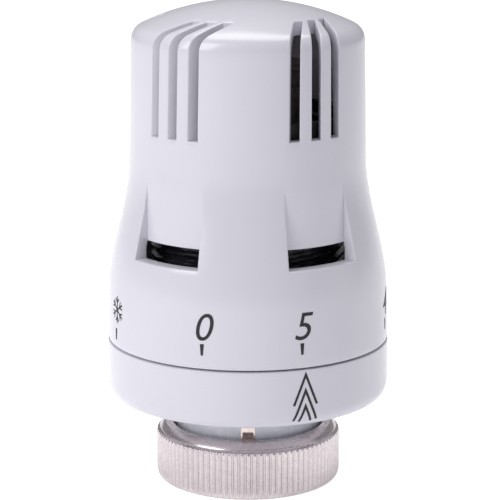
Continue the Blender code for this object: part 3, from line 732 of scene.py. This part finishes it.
marks = {
    # what is printed, and its angle from the front towards the right
    "dial": {"0": -18.2, "5": 21.6, "4": 75.8, "3": 130.0, "2": 184.2, "1": 238.4},
    "frost": -67.4, "index": 23.0,
    "digitFoot": 32.05, "digitSize": 7.0, "digitWidth": 0.99, "lean": 0.22, "thin": -0.008,
    "tick": (29.35, 31.4, 0.42, 0.74), "frostAt": 33.9, "frostArm": 2.5, "frostTurn": 0.8, "frostTick": -1.0,
    "frostWidths": (0.34, 0.30, 0.26), "frostTips": (0.5, 0.84, 0.30), "chevronShares": (1.0, 1.0, 0.56),
    "chevronTop": 26.3, "chevronHalf": 2.4, "chevronTall": 6.0, "chevronStroke": 0.44,
    "chevronStep": 2.85, "proud": 0.035, "strip": 0.7,
}
# the ring's outline is needed for the index mark as well
ring = {
    "radius": 25.8, "top": 26.55, "bottom": 16.2, "corner": (1.9, 2.9), "bore": 13.75, "chamfer": 0.25,
    "rim": [(0.12, 0), (0.04, 0.03), (0, 0.14), (0, 0.4)], "inside": [(22.6, 18.2), (23.4, 19.4)], "steps": 180,
    "screwCircle": 17.0, "screwAngles": (90, 210, 330), "screwHole": (1.5, 17.0, 19.0),
    "counterbore": (2.7, 15.5, 17.3), "sleeveHole": (1.5, 18.0, 20.3),
}


def ringRadius(z):
    width, height = ring["corner"]
    part = np.clip((ring["bottom"] + height - np.asarray(z, float)) / height, 0, 1)
    return ring["radius"] - width * (1 - np.sqrt(1 - part * part))


def plate(name, quads):
    # each quad is a plane with its corners moved; shared corners are merged
    deselect()
    made = []
    for corners in quads:
        bpy.ops.mesh.primitive_plane_add(size=1, location=(0, 0, 0))
        piece = bpy.context.object
        bpy.ops.object.mode_set(mode='EDIT')
        mesh = bmesh.from_edit_mesh(piece.data)
        mesh.faces.ensure_lookup_table()
        for loop, (x, y) in zip(mesh.faces[0].loops, corners):
            loop.vert.co = (x, y, 0)
        bmesh.update_edit_mesh(piece.data)
        objectMode()
        made.append(piece)
    deselect()
    for piece in made:
        piece.select_set(True)
    bpy.context.view_layer.objects.active = made[0]
    if len(made) > 1:
        bpy.ops.object.join()
    piece = bpy.context.object
    piece.name = piece.data.name = name
    return piece


def bar(x0, y0, x1, y1, wide0, wide1):
    # corners of a tapering bar from one point to another
    length = math.hypot(x1 - x0, y1 - y0)
    sideX, sideY = -(y1 - y0) / length / 2, (x1 - x0) / length / 2
    return [(x0 + sideX * wide0, y0 + sideY * wide0), (x0 - sideX * wide0, y0 - sideY * wide0),
            (x1 - sideX * wide1, y1 - sideY * wide1), (x1 + sideX * wide1, y1 + sideY * wide1)]


def printOn(piece, angle, foot, surface, body):
    # strips, thickness, then wrapped: x goes round the surface and y goes up
    editAll(piece)
    bpy.ops.mesh.remove_doubles(threshold=0.0001)
    for axis in (0, 1):
        values = [vert.co[axis] for vert in bmesh.from_edit_mesh(piece.data).verts]
        cut = math.ceil(min(values) / marks["strip"]) * marks["strip"]
        while cut < max(values):
            normal = Vector((1 - axis, axis, 0))
            bpy.ops.mesh.select_all(action='SELECT')
            bpy.ops.mesh.bisect(plane_co=normal * cut, plane_no=normal)
            cut += marks["strip"]
    bpy.ops.mesh.select_all(action='SELECT')
    bpy.ops.mesh.extrude_region_move(TRANSFORM_OT_translate={"value": (0, 0, 2 * marks["proud"])})
    objectMode()
    points = np.zeros(len(piece.data.vertices) * 3)
    piece.data.vertices.foreach_get("co", points)
    x, y, out = points.reshape(-1, 3).T
    z = foot + y
    r = surface(z)
    setPolar(piece, r - marks["proud"] + out, angle - 90 + np.degrees(x / r), z)
    cleanUp(piece)
    finishPiece(piece, body, "printInk", smooth=30)
    return piece


def makeMarks():
    for digit, angle in marks["dial"].items():
        deselect()
        bpy.ops.object.text_add(location=(0, 0, 0))
        piece = bpy.context.object
        piece.data.body = digit
        piece.data.size = marks["digitSize"]
        piece.data.align_x = 'CENTER'
        piece.data.shear = marks["lean"]
        piece.data.offset = marks["thin"]
        piece.data.resolution_u = 6
        bpy.ops.object.convert(target='MESH')
        piece = bpy.context.object
        piece.name = piece.data.name = "dialMark" + digit
        editAll(piece)
        bpy.ops.transform.resize(value=(marks["digitWidth"], 1, 1), center_override=(0, 0, 0))
        objectMode()
        printOn(piece, angle, marks["digitFoot"], wheelRadius, "handwheel")
    low, high, wideLow, wideHigh = marks["tick"]
    for name, angle in list(marks["dial"].items()) + [("Frost", marks["frost"])]:
        tick = plate("dialTick" + name, [bar(0, 0, 0, high - low, wideLow, wideHigh)])
        foot = low + (marks["frostTick"] if name == "Frost" else 0)
        printOn(tick, angle, foot, wheelRadius, "handwheel")
    arms = []
    reach = marks["frostArm"]
    thick, middle, thin = marks["frostWidths"]
    tipFrom, tipTo, tipSide = [share * reach for share in marks["frostTips"]]

    def turned(turn, x, y):
        return x * math.cos(turn) - y * math.sin(turn), x * math.sin(turn) + y * math.cos(turn)
    for step in range(6):
        turn = math.radians(60 * step + 90)
        arms.append(bar(*turned(turn, 0, 0), *turned(turn, reach, 0), thick, middle))
        for side in (-1, 1):
            arms.append(bar(*turned(turn, tipFrom, 0), *turned(turn, tipTo, side * tipSide), middle, thin))
    printOn(plate("frostMark", arms), marks["frost"] + marks["frostTurn"], marks["frostAt"],
            wheelRadius, "handwheel")
    half, tall, wide = marks["chevronHalf"], marks["chevronTall"], marks["chevronStroke"]
    quads = []
    leg = math.hypot(half, tall)
    drop = wide * leg / half    # how far the inner apex lies under the outer one
    for number, share in enumerate(marks["chevronShares"]):
        apex = -marks["chevronStep"] * number
        legX, legY = half * share, tall * share
        sideX, sideY = wide * tall / leg, wide * half / leg
        for side in (1, -1):
            corners = [(0, apex), (side * legX, apex - legY), (side * (legX - sideX), apex - legY - sideY),
                       (0, apex - drop)]
            quads.append(corners if side == 1 else corners[::-1])
    printOn(plate("indexMark", quads), marks["index"], marks["chevronTop"], ringRadius, "base")


makeMarks()
print("marks printed")


# fixed ring under the handwheel

def cylinderAt(r, low, high, place):
    # a cutter for a round hole
    deselect()
    middle = (place[0] * mm, place[1] * mm, (low + high) / 2 * mm)
    bpy.ops.mesh.primitive_cylinder_add(vertices=32, radius=r * mm, depth=(high - low) * mm, location=middle)
    return bpy.context.object


def around(r, angle):
    return r * math.cos(math.radians(angle)), r * math.sin(math.radians(angle))


def cutWith(piece, cutters):
    for cutter in cutters:
        select(piece)
        hole = piece.modifiers.new("hole", 'BOOLEAN')
        hole.object = cutter
        hole.solver = 'EXACT'
        bpy.ops.object.modifier_apply(modifier=hole.name)
        bpy.data.objects.remove(cutter)


def makeRing():
    width, height = ring["corner"]
    outer, top, bottom = ring["radius"], ring["top"], ring["bottom"]
    floorAt = ring["inside"][0][1]
    outline = [(outer - across, top - down) for across, down in ring["rim"]]
    for i in range(13):
        turn = math.pi / 2 * i / 12
        outline.append((outer - width * (1 - math.cos(turn)), bottom + height * (1 - math.sin(turn))))
    outline += [(ring["bore"] + ring["chamfer"], bottom), (ring["bore"], bottom + ring["chamfer"]),
                (ring["bore"], floorAt)] + ring["inside"] + [(ring["inside"][1][0], top)]
    piece = turnPiece("pointerRing", outline, ring["steps"])
    for angle in ring["screwAngles"]:
        place = around(ring["screwCircle"], angle)
        cutWith(piece, [cylinderAt(*ring["screwHole"], place), cylinderAt(*ring["counterbore"], place)])
    return finishPiece(piece, "base", "ringAbs", ("pointer_ring",), smooth=30)


makeRing()


# neck with its notch, the small light metal frame in the notch, whose light colour is a painted highlight along
# the notch's edges, and the screws

neck = {
    "outline": [(13.35, 21.6), (13.35, 19.8), (19.6, 19.8), (19.6, 18.5), (13.35, 18.5), (13.35, 7.9),
                (12.4, 7.9), (12.4, 6.3), (13.9, 6.3), (13.9, 5.2), (11.2, 5.2), (11.2, 21.6)],
    "notch": (2.6, 8.9, 13.1), "frameWall": 0.32, "frameFace": 13.36, "frameBack": 11.4, "frameDeep": 1.3,
    "framePlay": 0.04, "frameShare": 0.5, "frameMiddle": 10.9, "notchDepth": (10.0, 15.0),
}
screw = {"outline": [(0.0, 25.0), (0.9, 25.0), (1.15, 24.4), (1.15, 17.0), (2.4, 17.0), (2.4, 16.75),
                     (2.2, 16.5), (1.8, 16.4), (0.0, 16.4)], "slot": (2.6, 0.42, 0.55)}


def boxAt(name, size, place):
    deselect()
    bpy.ops.mesh.primitive_cube_add(size=1, location=[c * mm for c in place])
    piece = bpy.context.object
    piece.name = piece.data.name = name
    bpy.ops.object.mode_set(mode='EDIT')
    bpy.ops.transform.resize(value=[c * mm for c in size], center_override=[c * mm for c in place])
    objectMode()
    return piece


def putInMesh(piece):
    select(piece)
    bpy.ops.object.transform_apply(location=True, rotation=True, scale=True)


def makeNeck():
    piece = turnPiece("neckSocket", neck["outline"], 144)
    wide, low, high = neck["notch"]
    inner, outer = neck["notchDepth"]
    cutWith(piece, [boxAt("notch", (wide, outer - inner, high - low),
                          (0, -(inner + outer) / 2, (low + high) / 2))])
    for angle in ring["screwAngles"]:
        cutWith(piece, [cylinderAt(*ring["sleeveHole"], around(ring["screwCircle"], angle))])
    finishPiece(piece, "base", "greyNeck", ("neck_socket",), bevel=0.14, smooth=35)

    # frame: a block whose front is inset and pushed in; its light metal colour paints the highlight along the
    # notch's edges
    front, back, wall, play = neck["frameFace"], neck["frameBack"], neck["frameWall"], neck["framePlay"]
    piece = boxAt("notchHighlightFrame", (wide - play, front - back, high - low - play),
                  (0, -(front + back) / 2, (low + high) / 2))
    putInMesh(piece)
    pickFaces(piece, lambda r, angle, z: low + 0.1 < z < high - 0.1 and r > front - 0.1)
    bpy.ops.mesh.inset(thickness=wall * mm, depth=0)
    bpy.ops.transform.resize(value=(1, 1, neck["frameShare"]),
                             center_override=(0, -front * mm, neck["frameMiddle"] * mm))
    bpy.ops.mesh.extrude_region_move(TRANSFORM_OT_translate={"value": (0, neck["frameDeep"] * mm, 0)})
    objectMode()
    cleanUp(piece)
    finishPiece(piece, "base", "notchHighlightMetal", bevel=0.06, smooth=35)

    head = turnPiece("baseScrew1", screw["outline"], 32, closed=False)
    long, wideSlot, deepSlot = screw["slot"]
    face = (0, 0, screw["outline"][-1][1])
    cutWith(head, [boxAt("slot", (long, wideSlot, 2 * deepSlot), face),
                   boxAt("slot", (wideSlot, long, 2 * deepSlot), face)])
    heads = [head]
    for number in (2, 3):
        copy = head.copy()
        copy.data = head.data.copy()
        copy.name = copy.data.name = "baseScrew" + str(number)
        bpy.context.scene.collection.objects.link(copy)
        heads.append(copy)
    for number, (piece, angle) in enumerate(zip(heads, ring["screwAngles"]), 1):
        x, y = around(ring["screwCircle"], angle)
        editAll(piece)
        bpy.ops.transform.translate(value=(x * mm, y * mm, 0))
        objectMode()
        finishPiece(piece, "base", "springSteel", ("base_screw_" + str(number),), smooth=30)


makeNeck()
print("ring and neck made")


# union nut: fine straight ridges outside, a right-hand thread inside

nut = {
    "ridges": 92, "ridgeDeep": 0.36, "ridgeFrom": 0.5, "ridgeTo": 8.95,
    "profile": (0.0, 0.0, 0.12, 0.7, 1.0, 1.0, 0.7, 0.12),
    "outside": [(15.75, 0.0), (16.1, 0.05), (16.45, 0.22), (16.72, 0.5), (16.9, 0.9), (16.98, 1.3), (17.0, 1.7),
                (17.0, 3.5), (17.0, 5.3), (17.0, 7.1), (17.0, 8.4), (16.97, 8.7), (16.85, 8.9), (16.42, 9.05),
                (16.3, 9.2), (16.36, 9.36), (16.3, 9.5), (15.5, 10.48), (15.36, 10.58), (15.2, 10.6)],
    "inside": [(14.1, 10.6), (13.95, 10.45), (13.95, 8.8), (15.1, 8.8), (15.1, 5.7)],
    "major": 15.0, "minor": 14.19, "pitch": 1.5, "threadTop": 5.6, "threadFoot": 0.3, "threadRows": 30,
}


def makeNut():
    rows = [(nut["major"], z) for z in between(nut["threadTop"], nut["threadFoot"], nut["threadRows"])]
    outline = nut["outside"] + nut["inside"] + [(nut["major"], nut["threadTop"])] + rows + [(15.2, 0.0)]
    piece = turnPiece("unionNut", outline, nut["ridges"] * len(nut["profile"]))
    r, angle, z = polar(piece)
    column = np.round((angle % 360) / 360 * nut["ridges"] * len(nut["profile"])).astype(int)
    press = np.array(nut["profile"])[column % len(nut["profile"])]
    fade = smoothStep((z - nut["ridgeFrom"]) / 1.0) * smoothStep((nut["ridgeTo"] - z) / 0.25)
    newR = np.where(r > 16.5, r - nut["ridgeDeep"] * press * fade, r)
    turn = (z / nut["pitch"] - angle / 360) % 1
    crest = np.clip(1.25 - 2.5 * np.abs(turn - 0.5), 0, 1)
    rise = smoothStep((nut["threadTop"] - z) / 0.6) * smoothStep((z - 0.2) / 0.9)
    inThread = (r < nut["major"] + 0.05) & (z < nut["threadTop"] + 0.01) & (z > 0.25)
    newR = np.where(inThread, nut["major"] - (nut["major"] - nut["minor"]) * crest * rise, newR)
    setPolar(piece, newR, angle, z)
    return finishPiece(piece, "union_nut", "nickelPlate", ("union_nut",), smooth=42)


makeNut()
print("union nut made")


# turned pieces: node, body, finish, outline, steps, bevel

turnedPieces = {
    "seatLiner": ("seat_liner", "base", "bareBrass", 96, 0.1,
                  [(10.9, 17.5), (10.9, 5.2), (10.0, 5.2), (10.0, 17.5)]),
    "guidePlate": ("guide_plate", "base", "acetal", 96, 0.2,
                   [(14.2, 23.7), (14.2, 21.9), (4.4, 21.9), (4.4, 23.7)]),
    "slipRing": ("slip_ring", "nut_washer", "acetal", 120, 0.08,
                 [(14.8, 8.5), (14.8, 7.9), (13.65, 7.9), (13.65, 8.5)]),
    "springRetainer": ("spring_retainer", "carrier", "springSteel", 96, 0.15,
                       [(14.7, 52.1), (14.7, 50.9), (12.0, 50.9), (12.0, 52.1)]),
    "sensorCan": ("sensor_can", "sensor", "sensorShell", 120, 0.0,
                  [(0.0, 77.05), (5.5, 77.1), (6.3, 77.4), (9.7, 77.4), (10.35, 77.3), (10.9, 77.0),
                   (11.3, 76.5), (11.5, 75.8), (11.5, 74.3), (11.32, 74.0), (11.32, 73.6), (11.5, 73.3),
                   (11.5, 60.0), (11.5, 50.0), (11.5, 37.8), (10.9, 37.8), (10.9, 75.8), (9.7, 76.7),
                   (0.0, 76.7)]),
    "sensorFlange": ("sensor_flange", "sensor", "bareBrass", 96, 0.12,
                     [(10.6, 39.5), (10.6, 37.5), (14.7, 37.5), (14.7, 35.5), (4.0, 35.5), (4.0, 37.2),
                      (2.4, 37.2), (2.4, 39.5)]),
    "rodSeal": ("rod_seal", "sensor", "sealRubber", 48, 0.0,
                arc(3.0, 36.25, 0.66, 0, 345, 23)),
    "pistonRod": ("piston_rod", "piston", "springSteel", 64, 0.15,
                  [(0.0, 59.6), (6.6, 59.6), (6.6, 57.5), (2.0, 57.5), (2.0, 24.8), (1.6, 24.5), (0.0, 24.5)]),
    "pusherCap": ("pusher", "piston", "acetal", 64, 0.12,
                  [(0.0, 24.2), (2.3, 24.2), (2.3, 32.2), (4.0, 32.2), (4.0, 21.5), (3.8, 21.05), (3.4, 20.8),
                   (0.0, 20.8)]),
    "lockNut": ("lock_nut", "piston", "springSteel", 6, 0.12,
                [(4.04, 34.6), (4.04, 32.5), (2.3, 32.5), (2.3, 34.6)]),
}
splitPieces = {
    # node, body, finish, start, sweep, inner and outer radius, bottom and top
    "snapRing": ("snap_ring", "base", "springSteel", -72, 324, (12.8, 13.95), (6.6, 7.6)),
    "retainingRing": ("retaining_ring", "handwheel", "acetal", -60, 330, (19.9, 23.7), (27.65, 28.65)),
    "retainerClip": ("retainer_clip", "carrier", "springSteel", 20, 320, (13.6, 15.4), (52.75, 53.65)),
}


def makeTurned():
    for name, (node, body, finish, steps, bevel, outline) in turnedPieces.items():
        piece = turnPiece(name, outline, steps, closed=outline[0][0] > 0)
        finishPiece(piece, body, finish, (node,), bevel=bevel, smooth=35)
    for name, (node, body, finish, start, sweep, (inner, outer), (low, high)) in splitPieces.items():
        deselect()
        middle = ((inner + outer) / 2 * mm, 0, (low + high) / 2 * mm)
        bpy.ops.mesh.primitive_plane_add(size=1, location=middle, rotation=(math.pi / 2, 0, 0))
        piece = bpy.context.object
        piece.name = piece.data.name = name
        piece.scale = ((outer - inner) * mm, (high - low) * mm, 1)
        putInMesh(piece)
        editAll(piece)
        bpy.ops.mesh.spin(steps=int(sweep / 3), angle=math.radians(sweep), center=(0, 0, 0), axis=(0, 0, 1))
        objectMode()
        r, angle, z = polar(piece)
        backwards = np.any(angle % 360 > sweep + 1)
        setPolar(piece, r, start + (-angle if backwards else angle), z)
        cleanUp(piece)
        finishPiece(piece, body, finish, (node,), bevel=0.15, smooth=35)


makeTurned()
print("turned pieces made")


# carrier with its three-start thread and five keys

carrier = {
    "radius": 17.0, "steps": 180, "keyAt": -20, "keyHalf": 7,
    "keyFrom": 55.2, "keyTo": 66.0, "keyRadius": 17.55, "threadFrom": 33.6, "threadTo": 50.0,
    "lead": 5.4, "starts": 3, "crest": 0.72, "ridge": (0.62, 0.42), "threadRows": 82,
    "above": [(15.3, 66.5), (16.25, 66.5), (16.4, 66.35), (16.4, 66.0), (16.4, 60.6), (16.4, 55.2),
              (16.4, 54.5), (17.0, 54.0), (17.0, 52.0), (17.0, 50.0)],
    "below": [(16.8, 33.0), (9.2, 33.0), (9.0, 33.2), (9.0, 35.0), (9.2, 35.2), (15.0, 35.2), (15.0, 52.4),
              (15.7, 52.4), (15.7, 54.0), (15.0, 54.0), (15.0, 66.2)],
}


def makeCarrier():
    rows = between(carrier["threadTo"], carrier["threadFrom"], carrier["threadRows"])
    outer = carrier["radius"]
    outline = carrier["above"] + [(outer, z) for z in rows] + carrier["below"]
    piece = turnPiece("carrierBasket", outline, carrier["steps"])

    def inKey(r, angle, z):
        away = (angle - carrier["keyAt"] + 1 + 36) % 72 - 36
        return carrier["keyFrom"] < z < carrier["keyTo"] and r > 16 and abs(away) < carrier["keyHalf"]
    drawIn(piece, inKey, lambda r, z: carrier["keyRadius"])
    r, angle, z = polar(piece)
    angle = angle + 1
    pitch = carrier["lead"] / carrier["starts"]
    away = np.abs((z - carrier["lead"] * angle / 360 + pitch / 2) % pitch - pitch / 2)
    reach, slope = carrier["ridge"]
    rise = smoothStep((reach - away) / slope) * carrier["crest"]
    rise *= smoothStep((z - carrier["threadFrom"]) / 0.8) * smoothStep((carrier["threadTo"] - z) / 0.8)
    onThread = (r > outer - 0.05) & (z < carrier["threadTo"] + 0.01) & (z > carrier["threadFrom"] - 0.01)
    setPolar(piece, np.where(onThread, outer + rise, r), angle, z)
    cleanUp(piece)
    return finishPiece(piece, "carrier", "wetBlack", ("carrier",), smooth=40)


makeCarrier()


# springs and bellows, made at one length

coilSteps, coilSides = 48, 12    # steps in a turn, corners of the wire
coils = {
    # node, body, joint, coil radius, wire, bottom, top, turns, fixed end, share kept
    "overtravelSpring": ("overtravel_spring", "carrier", "overtravel", 13.8, 1.3, 37.8, 50.6, 7, 50.6, 0.844),
    "returnSpring": ("return_spring", "sensor", "piston_stroke", 4.6, 0.9, 39.8, 57.2, 7, 39.8, 0.856),
}
bellows = {"crest": 9.6, "root": 7.8, "skin": 0.35, "folds": 6, "bottom": 39.8, "top": 60.4, "keep": 0.879}


def makeCoils():
    for name, (node, body, joint, radius, wire, bottom, top, turns, fixed, keep) in coils.items():
        deselect()
        bpy.ops.mesh.primitive_circle_add(vertices=coilSides, radius=wire / 2 * mm, fill_type='NGON',
                                          location=(radius * mm, 0, 0), rotation=(math.pi / 2, 0, 0))
        piece = bpy.context.object
        piece.name = piece.data.name = name
        putInMesh(piece)
        editAll(piece)
        bpy.ops.mesh.spin(steps=coilSteps * turns, angle=2 * math.pi * turns, center=(0, 0, 0), axis=(0, 0, 1),
                          use_auto_merge=False)
        objectMode()
        r, angle, z = polar(piece)
        ringNumber = np.arange(len(r)) // coilSides / coilSteps
        closed = wire + 0.1
        pitch = (top - bottom - wire - 2 * closed) / (turns - 2)
        rise = np.minimum(ringNumber, 1) * closed + np.clip(ringNumber - 1, 0, turns - 2) * pitch
        rise += np.maximum(ringNumber - (turns - 1), 0) * closed
        z = bottom + wire / 2 + rise + z
        setPolar(piece, r, angle, np.clip(z, bottom + 0.12, top - 0.12))
        editAll(piece)
        bpy.ops.mesh.normals_make_consistent(inside=False)
        objectMode()
        finishPiece(piece, body, "springSteel", (node,), smooth=60)
        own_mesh(piece)


def makeBellows():
    low, high = bellows["bottom"], bellows["top"]
    root, crest, skin, folds = bellows["root"], bellows["crest"], bellows["skin"], bellows["folds"]
    pitch = (high - low) / folds
    middle, swing = (root + crest) / 2, (crest - root) / 2
    heights = [high - pitch * folds * i / (folds * 10) for i in range(folds * 10 + 1)]
    outside = [(middle - swing * math.cos(2 * math.pi * (high - z) / pitch), z) for z in heights]
    inside = [(r - skin, min(z, high - skin)) for r, z in reversed(outside)]
    piece = turnPiece("bellowsFolds", [(0.0, high)] + outside + inside + [(0.0, high - skin)], 96, closed=False)
    finishPiece(piece, "sensor", "bareBrass", ("bellows",), smooth=50)
    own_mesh(piece)


makeCoils()
makeBellows()
print("carrier, springs and bellows made")


# CAD pieces whose shape stays take the first finish that stands for their slot

finishOf = {slot: finish for finish, slot in reversed(slotOf.items())}
for part in frame["record"]["subparts"]:
    cadNode = frame["nodes"][part["node"]]
    cadNode.data.materials.clear()
    cadNode.data.materials.append(materials[finishOf[part["material_slot"]]])
print("finishes on the kept CAD pieces")
